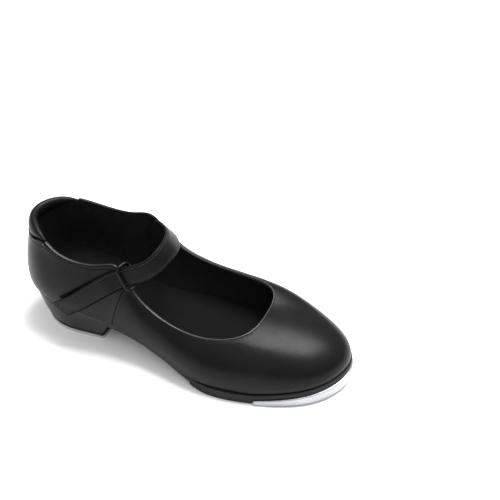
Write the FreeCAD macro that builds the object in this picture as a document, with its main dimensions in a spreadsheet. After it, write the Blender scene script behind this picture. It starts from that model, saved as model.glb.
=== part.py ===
import FreeCAD, Part
import math
import os
import Sketcher
from FreeCAD import Placement, Rotation, Vector

# A woman's right tap shoe with an instep strap.  Millimetres.  +X is towards the toe, +Y towards the
# wearer's left (the medial side), +Z up.  The origin is on the ground face of the heel tap.

os.makedirs("parts", exist_ok=True)
doc = FreeCAD.newDocument("tap_shoe")

# ---------------------------------------------------------------- driving dimensions
SIZES = {
    "upper_ply": 1.3, "lining_ply": 0.8, "stiffener_ply": 1.1, "ply_gap": 0.1, "binding_height": 1.0,
    "binding_bead": 0.4, "collar_foam": 4.2, "collar_bulge": 0.7,
    "seat_height": 30.7, "ball_height": 8.5, "seat_end": -20.0, "ball_start": 118.0, "toe_break": 150.0,
    "toe_spring": 7.5, "sole_ply": 4.4, "sole_margin": 1.1, "seat_margin": -0.2,
    "waist_margin": -1.4, "sole_width": 120.0,
    "filler_ply": 1.8, "board_ply": 2.0, "sock_ply": 2.2, "shank_ply": 1.4, "shank_width": 12.0,
    "tap_ply": 4.0, "tap_blank": 11.0, "tap_spring": 2.5, "tap_margin": 2.4,
    "pad_inset": 0.5, "pad_taper": 16.0,
    "heel_tap_ply": 2.6, "lift_ply": 3.0, "heel_half_width": 25.5, "heel_back": -26.0,
    "heel_back_length": 31.0, "heel_front_lateral": 28.0, "heel_front_medial": 33.0, "screw_slot": 0.9,
    "screw_head": 3.4, "screw_shank": 1.5, "screw_reach": 4.0, "screw_recess": 0.4,
    "heel_screw_radius": 2.0, "heel_screw_head": 4.5, "heel_screw_reach": 20.0, "nail_radius": 0.8,
    "strap_width": 14.0, "strap_ply": 1.2, "strap_lining_ply": 0.8, "fastener_ply": 0.8,
    "fastener_gap": 0.3, "flap_reach": 61.0, "wire_radius": 1.1, "ring_inner": 16.0,
    "keeper_width": 8.5, "keeper_ply": 0.7, "keeper_gap": 0.25,
}
sheet = doc.addObject("Spreadsheet::Sheet", "Sizes")
for row, (alias, number) in enumerate(SIZES.items(), start=1):
    sheet.set(f"A{row}", alias)
    sheet.set(f"B{row}", str(number))
    sheet.setAlias(f"B{row}", alias)
doc.recompute()


def size(alias):
    return float(sheet.get(alias))


def bind(feature, prop, expression):
    feature.setExpression(prop, expression)


# ---------------------------------------------------------------- the last's shape
# Eighteen stations go once round the shoe from the heel's back along the lateral side.  Each has a point
# (x, y) on the feather line where the upper meets the sole, a point on the topline, and the two handles
# of the curve between them, as steps from those points.
STATIONS = [
    ((-31.5, 0), (-31.5, 0, 86), (-8, 0, 10), (-5, 0, -19)),
    ((-26, -18), (-20, -18, 84), (-7, -7, 9), (-5, -3, -18)),
    ((-7, -28.5), (2, -27, 75), (-2, -9, 10), (-1, -3, -14)),
    ((25, -29.5), (27, -25, 72), (-1, -6, 13), (0, -4, -13)),
    ((52, -31), (45, -24, 75), (0, -6, 14), (0, -5, -16)),
    ((84, -38), (62, -27, 53), (0, -5, 13), (2, -4, -10)),
    ((118, -45), (100, -32, 40), (0, -4, 15), (4, -6, -5)),
    ((158, -39), (132, -24, 41), (3, -3, 17), (10, -9, -1)),
    ((190, -23), (142, -8, 43), (4, -2, 18), (22, -6, -2)),
    ((203.5, 3), (143, 3, 43), (4, 0, 18), (28, 0, -2)),
    ((192, 25), (143, 14, 43), (4, 2, 18), (22, 6, -2)),
    ((160, 38), (135, 28, 45), (3, 3, 18), (12, 8, -1)),
    ((125, 41), (102, 33, 46), (0, 4, 16), (4, 8, -5)),
    ((85, 32), (66, 33, 57), (0, 5, 13), (2, 4, -10)),
    ((54, 25), (46, 33, 77), (0, 8, 14), (0, 4, -16)),
    ((27, 28), (27, 34, 74), (0, 8, 13), (0, 3, -13)),
    ((-7, 28), (2, 31, 77), (-2, 8, 11), (-1, 3, -14)),
    ((-26, 18), (-20, 20, 85), (-7, 6, 10), (-5, 2, -18)),
]
COUNT = len(STATIONS)


def ride(x):
    """Height of the outsole's top face: heel seat, arched waist, flat ball, straight toe spring."""
    seat, ball = size("seat_height"), size("ball_height")
    start, end, toe = size("seat_end"), size("ball_start"), size("toe_break")
    if x <= start:
        return seat
    if x < end:
        return ball + (seat - ball) * 0.5 * (1 + math.cos(math.pi * (x - start) / (end - start)))
    return ball + max(0.0, x - toe) * math.tan(math.radians(size("toe_spring")))


def loop_curve(points):
    curve = Part.BSplineCurve()
    curve.interpolate(Points=points, PeriodicFlag=True, Parameters=[float(i) for i in range(len(points) + 1)])
    return curve


FEATHER = loop_curve([Vector(*s[0], 0) for s in STATIONS])
TOPLINE = loop_curve([Vector(*s[1]) for s in STATIONS])
LOW_HANDLE = loop_curve([Vector(*s[0], 0) + Vector(*s[2]) for s in STATIONS])
HIGH_HANDLE = loop_curve([Vector(*s[1]) + Vector(*s[3]) for s in STATIONS])


def last_point(s, t):
    """A point of the upper's outer face: s counts stations, t is 0 at the feather and 1 at the topline."""
    s = s % COUNT
    foot = FEATHER.value(s)
    foot.z = ride(foot.x) + size("ply_gap")
    top = TOPLINE.value(s)
    low, high = LOW_HANDLE.value(s) + Vector(0, 0, foot.z), HIGH_HANDLE.value(s)
    r = 1 - t
    return foot * r ** 3 + low * (3 * r * r * t) + high * (3 * r * t * t) + top * t ** 3


def sheet_solid(place, columns, rows, inner, outer):
    """A thick sheet: place(u, v) is its base face, inner and outer the depths along the face's normal."""
    step = 1e-3

    def point(u, v, depth):
        here = place(u, v)
        along = place(u + step, v) - place(u - step, v)
        across = place(u, v + step) - place(u, v - step)
        normal = along.cross(across).normalize()
        return here + normal * depth(u, v)

    def face(depth):
        surface = Part.BSplineSurface()
        surface.interpolate([[point(i / columns, j / rows, depth) for j in range(rows + 1)]
                             for i in range(columns + 1)])
        return surface

    low, high = face(inner), face(outer)
    faces = [low.toShape(), high.toShape()]
    first_u, last_u, first_v, last_v = high.bounds()
    for iso, at in (("uIso", first_u), ("uIso", last_u), ("vIso", first_v), ("vIso", last_v)):
        faces.append(getattr(low, iso)(at).makeRuledSurface(getattr(high, iso)(at)).toShape())
    shell = Part.makeShell(faces)
    shell.sewShape()
    solid = Part.makeSolid(shell)
    if solid.Volume < 0:
        solid.reverse()
    return solid


def feature(name, shape):
    item = doc.addObject("Part::Feature", name)
    item.Label = name
    item.Shape = shape
    item.Placement = Placement()
    return item


def even(depth):
    return lambda u, v: depth


def upper_piece(name, start, end, low, high, inner, outer, columns, rows):
    """A piece of the upper between two slanted ends; start and end give s at t, low and high give t at s."""

    def place(u, v):
        middle = start(0.5) + (end(0.5) - start(0.5)) * u
        t = low(middle) + (high(middle) - low(middle)) * v
        s = start(t) + (end(t) - start(t)) * u
        return last_point(s, t)

    return feature(name, sheet_solid(place, columns, rows, inner, outer))


def lateral_seam(t):
    return 3.55 + 0.2 * t + 0.95 * t * t


def medial_seam(t):
    return 14.5 - 0.2 * t - 0.75 * t * t


def scoop(s):
    """The quarter's top edge dips behind the heel to take the padded collar."""
    from_back = abs((s + COUNT / 2) % COUNT - COUNT / 2)
    blend = min(1.0, max(0.0, (from_back - 0.75) / 0.75))
    return 0.86 + 0.14 * blend * blend * (3 - 2 * blend)


def level(value):
    return lambda s: value


def shifted(curve, step):
    return lambda value: curve(value) + step


upper, lining, gap = size("upper_ply"), size("lining_ply"), size("ply_gap")
stiffener = size("stiffener_ply")
lining_face = -(upper + stiffener + 2 * gap)
SEAM_GAP = 0.012
upper_piece("vamp", shifted(lateral_seam, SEAM_GAP), shifted(medial_seam, -SEAM_GAP), level(0), level(1),
            even(-upper), even(0), 60, 12)
upper_piece("quarter_lateral", level(0.01), shifted(lateral_seam, -SEAM_GAP), level(0), scoop,
            even(-upper), even(0), 28, 12)
upper_piece("quarter_medial", shifted(medial_seam, SEAM_GAP), level(COUNT - 0.01), level(0), scoop,
            even(-upper), even(0), 28, 12)
upper_piece("vamp_lining", shifted(lateral_seam, 0.05), shifted(medial_seam, -0.05), level(0.06), level(0.99),
            even(lining_face - lining), even(lining_face), 48, 10)
upper_piece("quarter_lining", shifted(medial_seam, 0.05), shifted(lateral_seam, COUNT - 0.05), level(0.06),
            shifted(scoop, -0.02), even(lining_face - lining), even(lining_face), 56, 10)
upper_piece("toe_puff", level(7.2), level(10.8), level(0.06), level(0.5),
            even(-upper - gap - stiffener), even(-upper - gap), 20, 6)
upper_piece("heel_counter", level(COUNT - 2.9), level(COUNT + 2.9), level(0.06), level(0.62),
            even(-upper - gap - stiffener), even(-upper - gap), 28, 6)


def collar_back(u, v):
    return -upper - size("collar_foam") * math.sin(math.pi * min(1.0, 0.25 + 0.6 * v))


def collar_front(u, v):
    return size("collar_bulge") * math.sin(math.pi * v) * math.sin(math.pi * u)


upper_piece("heel_collar_pad", level(COUNT - 1.2), level(COUNT + 1.2), shifted(scoop, 0.012), level(1),
            collar_back, collar_front, 28, 8)


def beyond_topline(s):
    rise = (HIGH_HANDLE.value(s % COUNT) - TOPLINE.value(s % COUNT)).Length
    return 1 + size("binding_height") / (3 * rise)


upper_piece("topline_binding", shifted(lateral_seam, SEAM_GAP), shifted(medial_seam, -SEAM_GAP), level(1.001),
            beyond_topline, even(lining_face - lining), even(size("binding_bead")), 60, 2)
upper_piece("strap_anchor_patch", level(13.75), level(14.5), level(0.6), level(0.9),
            even(-upper - gap - stiffener), even(-upper - gap), 8, 5)


# ---------------------------------------------------------------- sole plates
def plane_of(body, role):
    return [item for item in body.Origin.OriginFeatures if item.Role == role][0]


def new_body(name):
    body = doc.addObject("PartDesign::Body", name)
    body.Label = name
    return body


def new_sketch(body, name, role, height=None):
    sketch = body.newObject("Sketcher::SketchObject", name)
    sketch.AttachmentSupport = [(plane_of(body, role), "")]
    sketch.MapMode = "FlatFace"
    if height:
        bind(sketch, "AttachmentOffset.Base.z", height)
    return sketch


def add_polygon(sketch, points):
    for a, b in zip(points, points[1:] + points[:1]):
        sketch.addGeometry(Part.LineSegment(Vector(*a, 0), Vector(*b, 0)))


SEAT_FRONT, WAIST_BACK, WAIST_FRONT = 28.0, 45.0, 85.0


def outline_points(margin, heel_margin, waist_margin):
    """The feather line moved outwards by heel_margin round the seat, waist_margin and, ahead of it, margin."""
    points = []
    for index in range(COUNT):
        at = FEATHER.value(index)
        along = FEATHER.tangent(index)[0]
        waist = min(1.0, max(0.0, (at.x - SEAT_FRONT) / (WAIST_BACK - SEAT_FRONT)))
        front = min(1.0, max(0.0, (at.x - WAIST_FRONT) / (size("ball_start") - WAIST_FRONT)))
        out = heel_margin + (waist_margin - heel_margin) * waist + (margin - waist_margin) * front
        points.append(at + Vector(along.y, -along.x, 0).normalize() * out)
    return points


def add_outline(sketch, margins):
    sketch.addGeometry(loop_curve(outline_points(*margins)))


def add_side_profile(sketch, low, high, start, end):
    """A band that follows the ride between two heights over it, from x = start to x = end."""
    ends = []
    for lift in (low, high):
        corners = [start] + [x for x in (size("seat_end"), size("ball_start"), size("toe_break"))
                             if start < x < end] + [end]
        for a, b in zip(corners, corners[1:]):
            if size("seat_end") <= a < size("ball_start"):
                curve = Part.BSplineCurve()
                curve.interpolate([Vector(a + (b - a) * i / 8, ride(a + (b - a) * i / 8) + lift, 0)
                                   for i in range(9)])
                sketch.addGeometry(curve)
            else:
                sketch.addGeometry(Part.LineSegment(Vector(a, ride(a) + lift, 0),
                                                    Vector(b, ride(b) + lift, 0)))
        ends.append((Vector(start, ride(start) + lift, 0), Vector(end, ride(end) + lift, 0)))
    for side in (0, 1):
        sketch.addGeometry(Part.LineSegment(ends[0][side], ends[1][side]))


def trim(body, name, draw, role="XY_Plane"):
    """A pocket through everything, both ways, of what draw() puts in its sketch."""
    sketch = new_sketch(body, name + "_sketch", role)
    draw(sketch)
    before = body.Tip.Shape.Volume
    pocket = body.newObject("PartDesign::Pocket", name)
    pocket.Profile = sketch
    pocket.Midplane = True
    pocket.Type = 1
    doc.recompute()
    if not pocket.Shape.Volume < before:
        raise ValueError(f"{name} removes nothing")
    return pocket


EDGE = [(-70, -80), (240, -80), (240, 80), (-70, 80)]


def ride_plate(name, low, high, start, end, margins, cuts=()):
    """A plate of even thickness that lies along the ride inside the sole's outline."""
    body = new_body(name)
    profile = new_sketch(body, name + "_profile", "XZ_Plane")
    add_side_profile(profile, low, high, start, end)
    pad = body.newObject("PartDesign::Pad", name + "_band")
    pad.Profile = profile
    pad.Midplane = True
    bind(pad, "Length", "Sizes.sole_width")
    doc.recompute()

    def around(sketch):
        add_polygon(sketch, EDGE)
        add_outline(sketch, margins)

    trim(body, name + "_outline", around)
    for index, cut in enumerate(cuts):
        trim(body, f"{name}_cut{index}", cut)
    return body


def heel_screw_hole(sketch):
    hole = sketch.addGeometry(Part.Circle(Vector(0, 0, 0), Vector(0, 0, 1), 2))
    index = sketch.addConstraint(Sketcher.Constraint("Radius", hole, size("heel_screw_radius")))
    sketch.renameConstraint(index, "hole")
    bind(sketch, "Constraints.hole", "Sizes.heel_screw_radius")


sole, filler, board = size("sole_ply"), size("filler_ply"), size("board_ply")
inside = -(upper + stiffener + lining + 6 * gap)
SOLE_MARGINS = (size("sole_margin"), size("seat_margin"), size("waist_margin"))
ride_plate("outsole", -sole, 0, -60, 225, SOLE_MARGINS, [heel_screw_hole])
board_low = filler + 2 * gap
ride_plate("insole_board", board_low, board_low + board, -60, 225, [inside] * 3, [heel_screw_hole])
sock_low = board_low + board + gap
ride_plate("sock_liner", sock_low, sock_low + size("sock_ply"), -60, 225, [inside - 0.5] * 3)
SHANK_ENDS = (-14, 98)
ride_plate("bottom_filler", gap, gap + filler, SHANK_ENDS[1] + 4, 225, [inside - 1] * 3)

shank = new_body("shank")
shank_profile = new_sketch(shank, "shank_profile", "XZ_Plane")
add_side_profile(shank_profile, gap, gap + size("shank_ply"), *SHANK_ENDS)
shank_pad = shank.newObject("PartDesign::Pad", "shank_strip")
shank_pad.Profile = shank_profile
shank_pad.Midplane = True
bind(shank_pad, "Length", "Sizes.shank_width")
doc.recompute()
trim(shank, "shank_hole", heel_screw_hole)

# ball pad: a rubber plate under the ball, its rear edge cut on a slant
PAD_REAR = (101, 128)
pad_body = new_body("ball_pad")
pad_outline = new_sketch(pad_body, "pad_outline", "XY_Plane")
add_outline(pad_outline, (size("sole_margin") - size("pad_inset"), 0, size("waist_margin")))
pad_plate = pad_body.newObject("PartDesign::Pad", "pad_plate")
pad_plate.Profile = pad_outline
bind(pad_plate, "Length", "Sizes.ball_height - Sizes.sole_ply")
doc.recompute()


def pad_ends(sketch):
    add_polygon(sketch, [(-70, -80), (PAD_REAR[0] - 6, -80), (PAD_REAR[1] + 6, 80), (-70, 80)])
    front = size("toe_break") - 0.4
    add_polygon(sketch, [(front, -80), (240, -80), (240, 80), (front, 80)])


def pad_rear_taper(sketch):
    """The ground face runs up towards the pad's rear edge."""
    rear, top = PAD_REAR[0], size("ball_height") - sole
    end = rear + size("pad_taper")
    add_polygon(sketch, [(rear - 20, -5), (end, -5), (end, 0), (rear, top - 0.5), (rear - 20, top - 0.5)])


trim(pad_body, "pad_trim", pad_ends)
trim(pad_body, "pad_rear", pad_rear_taper, "XZ_Plane")

# ---------------------------------------------------------------- taps, heel and screws
TOE_SCREWS = (Vector(26, 2, 0), 17.0)      # centre and radius of the toe tap's screw circle, in its plane
HEEL_SCREWS = (Vector(2, 0, 0), 17.0)


def screw_places(circle):
    centre, radius = circle
    return [centre + Vector(math.cos(a), math.sin(a), 0) * radius
            for a in (math.radians(60), math.radians(180), math.radians(300))]


def heel_outline(sketch, half_width, back, back_length, front_lateral, front_medial):
    """A D: slanted breast at the front, straight sides, half an ellipse at the back."""
    middle = back + back_length
    a, b = Vector(front_lateral, -half_width + 1, 0), Vector(middle, -half_width, 0)
    c, d = Vector(middle, half_width, 0), Vector(front_medial, half_width - 1, 0)
    sketch.addGeometry(Part.LineSegment(a, b))
    ellipse = Part.Ellipse(Vector(middle, 0, 0), back_length, half_width)
    sketch.addGeometry(Part.ArcOfEllipse(ellipse, math.pi / 2, 3 * math.pi / 2))
    sketch.addGeometry(Part.LineSegment(c, d))
    sketch.addGeometry(Part.LineSegment(d, a))


def heel_plate(name, inset, height, thickness):
    body = new_body(name)
    outline = new_sketch(body, name + "_outline", "XY_Plane", height)
    heel_outline(outline, size("heel_half_width") - inset, size("heel_back") + inset,
                 size("heel_back_length"), size("heel_front_lateral") - inset,
                 size("heel_front_medial") - inset)
    pad = body.newObject("PartDesign::Pad", name + "_plate")
    pad.Profile = outline
    bind(pad, "Length", thickness)
    doc.recompute()
    return body


heel_tap = heel_plate("heel_tap", 0, None, "Sizes.heel_tap_ply")
heel_plate("heel_lift", 0.1, "Sizes.heel_tap_ply", "Sizes.lift_ply")

heel_tap_low = "Sizes.heel_tap_ply + Sizes.lift_ply"


def countersink_screw_holes(body, name, circle):
    """Three clearance holes with a countersink in the ground face, on a circle."""
    sketch = new_sketch(body, name + "_places", "XY_Plane")
    for place in screw_places(circle):
        sketch.addGeometry(Part.Circle(place, Vector(0, 0, 1), size("screw_shank")))
    before = body.Tip.Shape.Volume
    hole = body.newObject("PartDesign::Hole", name)
    hole.Profile = sketch
    doc.recompute()
    hole.Threaded = False
    hole.ThreadType = "None"
    hole.HoleCutType = "Countersink"
    hole.DepthType = "ThroughAll"
    hole.Reversed = True
    hole.HoleCutCustomValues = True
    bind(hole, "Diameter", "2 * Sizes.screw_shank + 0.2")
    bind(hole, "HoleCutDiameter", "2 * (Sizes.screw_head + Sizes.screw_recess) + 0.2")
    hole.HoleCutCountersinkAngle = 90
    doc.recompute()
    if not hole.Shape.Volume < before:
        raise ValueError(f"{name} removes nothing")


def screw_group(name, circle, placement):
    """Three countersunk screws: a half section turned about its axis, then a polar pattern of it."""
    centre, radius = circle
    body = new_body(name)
    body.Placement = placement.multiply(Placement(centre, Rotation()))
    head, shank_r, recess = size("screw_head"), size("screw_shank"), size("screw_recess")
    neck, reach = recess + head - shank_r, size("screw_reach")
    section = new_sketch(body, name + "_section", "XZ_Plane")
    section.AttachmentOffset = Placement(Vector(-radius, 0, 0), Rotation())
    add_polygon(section, [(0, recess), (head, recess), (shank_r, neck), (shank_r, neck + reach),
                          (0, neck + reach + 2)])
    turned = body.newObject("PartDesign::Revolution", name + "_turned")
    turned.Profile = section
    turned.ReferenceAxis = (section, ["V_Axis"])
    turned.Angle = 360
    doc.recompute()
    slots = new_sketch(body, name + "_slot_lines", "XY_Plane")
    slots.AttachmentOffset = Placement(Vector(-radius, 0, recess), Rotation())
    arm, half = 2.0, 0.4
    add_polygon(slots, [(arm, -half), (arm, half), (half, half), (half, arm),
                        (-half, arm), (-half, half), (-arm, half), (-arm, -half),
                        (-half, -half), (-half, -arm), (half, -arm), (half, -half)])
    slot = body.newObject("PartDesign::Pocket", name + "_slot")
    slot.Profile = slots
    bind(slot, "Length", "Sizes.screw_slot")
    slot.Reversed = True
    doc.recompute()
    if not slot.Shape.Volume < turned.Shape.Volume:
        raise ValueError(f"{name} has no driver slot")
    pattern = body.newObject("PartDesign::PolarPattern", name + "_circle")
    pattern.Originals = [turned, slot]
    pattern.Axis = (plane_of(body, "Z_Axis"), [""])
    pattern.Angle = 360
    pattern.Occurrences = 3
    body.Tip = pattern
    doc.recompute()
    return body


countersink_screw_holes(heel_tap, "heel_tap_holes", HEEL_SCREWS)
screw_group("heel_tap_screws", HEEL_SCREWS, Placement())

toe_tap = new_body("toe_tap")
tap_spring = math.radians(size("tap_spring"))
tap_place = Placement(Vector(size("toe_break"), 0, 0), Rotation(Vector(0, 1, 0), -size("tap_spring")))
toe_tap.Placement = tap_place
tap_outline = new_sketch(toe_tap, "tap_outline", "XY_Plane")
tap_outline.addGeometry(loop_curve([Vector((at.x - size("toe_break")) / math.cos(tap_spring), at.y, 0)
                                    for at in outline_points(size("tap_margin"), 0, 0)]))
tap_plate = toe_tap.newObject("PartDesign::Pad", "tap_plate")
tap_plate.Profile = tap_outline
bind(tap_plate, "Length", "Sizes.tap_blank")
doc.recompute()


def tap_seat(sketch):
    """The tap thickens towards the toe: its upper face lies along the sprung sole."""
    wedge = math.tan(math.radians(size("toe_spring")) - tap_spring)
    sketch_line = [(x, size("tap_ply") - 0.01 + x * wedge) for x in (-10, 90)]
    add_polygon(sketch, sketch_line + [(90, 40), (-10, 40)])


trim(toe_tap, "tap_seat", tap_seat, "XZ_Plane")
trim(toe_tap, "tap_rear",
     lambda sketch: add_polygon(sketch, [(-260, -80), (0, -80), (3, 0), (0, 80), (-260, 80)]))
countersink_screw_holes(toe_tap, "toe_tap_holes", TOE_SCREWS)
screw_group("toe_tap_screws", TOE_SCREWS, tap_place)

# heel block: three D sections lofted, then cut to the heel seat's slope
heel_block = new_body("heel_block")
block_sections = []
HEEL_SECTIONS = ((heel_tap_low, 25.9, -27, 31.4, 28, 33), ("15", 27.2, -29.4, 32, 30, 34),
                 ("Sizes.seat_height + 1", 29.2, -32, 33, 35, 37))
for index, (height, *outline) in enumerate(HEEL_SECTIONS):
    section = new_sketch(heel_block, f"heel_section{index}", "XY_Plane", height)
    heel_outline(section, *outline)
    block_sections.append(section)
block = heel_block.newObject("PartDesign::AdditiveLoft", "heel_loft")
block.Profile = block_sections[0]
block.Sections = block_sections[1:]
doc.recompute()
trim(heel_block, "heel_seat", lambda sketch: add_side_profile(sketch, -sole - gap, 30, -60, 60), "XZ_Plane")
trim(heel_block, "heel_bore", heel_screw_hole)


def turned_pin(name, points, centre, count, radius):
    """A pin turned from its half section, repeated round a circle."""
    body = new_body(name)
    body.Placement = Placement(centre, Rotation())
    section = new_sketch(body, name + "_section", "XZ_Plane")
    section.AttachmentOffset = Placement(Vector(-radius, 0, 0), Rotation())
    add_polygon(section, points)
    turned = body.newObject("PartDesign::Revolution", name + "_turned")
    turned.Profile = section
    turned.ReferenceAxis = (section, ["V_Axis"])
    turned.Angle = 360
    doc.recompute()
    if count > 1:
        pattern = body.newObject("PartDesign::PolarPattern", name + "_circle")
        pattern.Originals = [turned]
        pattern.Axis = (plane_of(body, "Z_Axis"), [""])
        pattern.Angle = 360
        pattern.Occurrences = count
        body.Tip = pattern
        doc.recompute()
    return body


board_top = ride(0) + board_low + board
screw_r, screw_head = size("heel_screw_radius") - 0.05, size("heel_screw_head")
screw_tip = board_top - size("heel_screw_reach")
turned_pin("heel_screw", [(0, screw_tip - 2), (screw_r, screw_tip), (screw_r, board_top - 2.4),
                          (screw_head, board_top - 1.4), (screw_head, board_top - 0.9), (0, board_top - 0.9)],
           Vector(0, 0, 0), 1, 0)
nail = size("nail_radius")
nail_top = ride(5) + board_low + board - 1
turned_pin("heel_nails", [(0, nail_top - 18), (nail, nail_top - 16), (nail, nail_top - 1),
                          (2 * nail, nail_top), (0, nail_top)], Vector(-9, 0, 0), 3, 15)


# ---------------------------------------------------------------- strap, ring and fastening
def side_depth(x, z):
    """y of the lateral quarter's outer face at (x, z), below the bulge the face above it carried down."""
    z = max(z, ride(x) + 8)
    s, t = 1 + (x + 30) / 28, 0.5
    for _ in range(20):
        here = last_point(s, t)
        ds, dt = last_point(s + 1e-3, t) - here, last_point(s, t + 1e-3) - here
        a, b, c, d = ds.x / 1e-3, dt.x / 1e-3, ds.z / 1e-3, dt.z / 1e-3
        ex, ez = x - here.x, z - here.z
        s += (ex * d - b * ez) / (a * d - b * c)
        t += (a * ez - c * ex) / (a * d - b * c)
        if abs(ex) + abs(ez) < 1e-4:
            break
    return last_point(s, t).y


width, flap_reach = size("strap_width"), size("flap_reach")
FLAP_START = Vector(49.3, 0, 70.6)
FLAP_END = Vector(1.8, 0, 30.6)
flap_way = (FLAP_END - FLAP_START).normalize()
flap_across = Vector(-flap_way.z, 0, flap_way.x)
FLAP_TIP_SLANT = 3.0


def flap_place(u, v):
    """Base face of the flap: u from the ring to the tip, v across it from the ankle side."""
    side = v - 0.5
    reach = flap_reach * u - FLAP_TIP_SLANT * side * u * u
    at = FLAP_START + flap_way * reach + flap_across * (width * side)
    return Vector(at.x, side_depth(at.x, at.z), at.z)


def smooth(value):
    value = min(1.0, max(0.0, value))
    return value * value * (3 - 2 * value)


ply, inner_ply, patch = size("strap_ply"), size("strap_lining_ply"), size("fastener_ply")
patch_gap = size("fastener_gap")
flap_height = 2 * patch + patch_gap + 2 * gap
FLAP_FIRST = 0.03


def flap_lift(extra):
    return lambda u, v: patch_gap + (flap_height - patch_gap) * smooth((u - FLAP_FIRST) / 0.25) + extra


def flap_part(u_first, u_last, v_first, v_last):
    return lambda u, v: flap_place(u_first + (u_last - u_first) * u, v_first + (v_last - v_first) * v)


def flap_ply(name, low, high):
    def depth(extra):
        lift = flap_lift(extra)
        return lambda u, v: lift(FLAP_FIRST + (1 - FLAP_FIRST) * u, v)
    feature(name, sheet_solid(flap_part(FLAP_FIRST, 1, 0, 1), 24, 6, depth(low), depth(high)))


flap_ply("strap_end", inner_ply + gap, inner_ply + ply)
flap_ply("strap_end_lining", 0, inner_ply)
feature("loop_patch", sheet_solid(flap_part(0.36, 0.76, 0.12, 0.88), 10, 4, even(gap), even(gap + patch)))
feature("hook_patch", sheet_solid(flap_part(0.38, 0.74, 0.14, 0.86), 10, 4, even(flap_height - patch),
                                  even(flap_height - gap / 2)))

# the strap's arch over the instep, from its anchor inside the medial quarter to the ring
STRAP_LINE = [(49, 29.5, 52), (49.5, 29.8, 60), (50.8, 29.2, 67.5), (54.8, 28.6, 74.2), (60.4, 25.4, 76.2),
              (66.6, 19.5, 76.9), (70.6, 11, 79), (72.4, 2.5, 80.6), (72, -6, 80.2), (69.3, -13, 77.6),
              (65.6, -18.4, 75.4), (60.8, -22, 73.6), (55.9, -24.5, 72.4), (51.3, -27, 70.2)]
STRAP_ACROSS = [(0.99, -0.05, -0.1), (0.97, 0, -0.2), (0.9, 0.06, -0.42), (0.72, 0.12, -0.68),
                (0.6, 0.24, -0.76), (0.6, 0.22, -0.77), (0.66, 0.2, -0.73), (0.66, 0.2, -0.72),
                (0.62, 0.17, -0.76), (0.54, 0.1, -0.83), (0.48, 0, -0.87), (0.42, -0.07, -0.9),
                (0.45, -0.06, -0.89), (0.52, 0, -0.85)]


def open_curve(points):
    curve = Part.BSplineCurve()
    curve.interpolate(Points=[Vector(*p) for p in points], Parameters=[i / (len(points) - 1)
                                                                       for i in range(len(points))])
    return curve


STRAP_CURVE, STRAP_SIDE = open_curve(STRAP_LINE), open_curve(STRAP_ACROSS)


def strap_place(u, v):
    side = STRAP_SIDE.value(u).normalize()
    return STRAP_CURVE.value(u) + side * (width * (v - 0.5))


feature("instep_strap", sheet_solid(strap_place, 48, 4, even(-ply), even(0)))
feature("instep_strap_lining",
        sheet_solid(strap_place, 48, 4, even(-ply - gap - inner_ply), even(-ply - gap)))
doc.recompute()

# ring: round wire bent to a rounded oblong, its long sides across the strap
LOWER_BAR = Vector(50.6, -29.2, 69.9)
UPPER_BAR = Vector(54.5, -20.4, 71)
wire = size("wire_radius")
ring_down = LOWER_BAR - UPPER_BAR
ring_span = ring_down.Length
ring_down.normalize()
ring_along = Vector(0.52, 0, -0.85)
ring_along = (ring_along - ring_down * ring_along.dot(ring_down)).normalize()
ring_out = ring_along.cross(ring_down)
ring = new_body("ring")
ring.Placement = Placement((UPPER_BAR + LOWER_BAR) / 2, Rotation(ring_along, ring_down, ring_out, "XYZ"))
half_long, half_short, corner = size("ring_inner") / 2 + wire, ring_span / 2, 3.2
spine = new_sketch(ring, "ring_spine", "XY_Plane")
corners = [(half_long, -half_short), (half_long, half_short),
           (-half_long, half_short), (-half_long, -half_short)]
for index, (x, y) in enumerate(corners):
    x_sign, y_sign = math.copysign(1, x), math.copysign(1, y)
    centre = Vector(x - x_sign * corner, y - y_sign * corner, 0)
    start = math.degrees(math.atan2(y_sign, x_sign)) - 45
    sweep = Part.ArcOfCircle(Part.Circle(centre, Vector(0, 0, 1), corner), math.radians(start),
                             math.radians(start + 90))
    spine.addGeometry(sweep)
for x_sign, y_sign in ((1, 1), (-1, -1)):
    spine.addGeometry(Part.LineSegment(Vector(x_sign * half_long, -y_sign * (half_short - corner), 0),
                                       Vector(x_sign * half_long, y_sign * (half_short - corner), 0)))
    spine.addGeometry(Part.LineSegment(Vector(x_sign * (half_long - corner), y_sign * half_short, 0),
                                       Vector(-x_sign * (half_long - corner), y_sign * half_short, 0)))
section = new_sketch(ring, "ring_section", "YZ_Plane")
section.addGeometry(Part.Circle(Vector(-half_short, 0, 0), Vector(0, 0, 1), wire))
index = section.addConstraint(Sketcher.Constraint("Radius", 0, wire))
section.renameConstraint(index, "wire")
bind(section, "Constraints.wire", "Sizes.wire_radius")
pipe = ring.newObject("PartDesign::AdditivePipe", "ring_wire")
pipe.Profile = section
pipe.Spine = (spine, [f"Edge{i + 1}" for i in range(8)])
doc.recompute()

# keeper: a leather loop round the ring's upper bar, its tab between the quarter and its lining
keeper_hole = wire + size("keeper_gap")
keeper_outer = keeper_hole + size("keeper_ply")
keeper_width = size("keeper_width")
loop_start = UPPER_BAR - ring_along * (keeper_width / 2)
eye = Part.makeCylinder(keeper_outer, keeper_width, loop_start, ring_along)


def keeper_place(u, v):
    """From inside the quarter, up past its topline, to the ring's bar."""
    s = 4.12 + 0.36 * u
    below = last_point(s, 0.8) + Vector(0, upper + gap + 0.65, 0)
    rim = last_point(s, 1.0) + Vector(0, upper + gap + 1.5, 1)
    bar = UPPER_BAR + ring_along * (keeper_width * (u - 0.5))
    return below * (1 - v) ** 2 + rim * (2 * v * (1 - v)) + bar * v ** 2


tab = sheet_solid(keeper_place, 6, 8, even(-0.4), even(0.4))
bore = Part.makeCylinder(keeper_hole, keeper_width + 4, loop_start - ring_along * 2, ring_along)
feature("ring_keeper", eye.fuse(tab).cut(bore))
doc.recompute()

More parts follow.
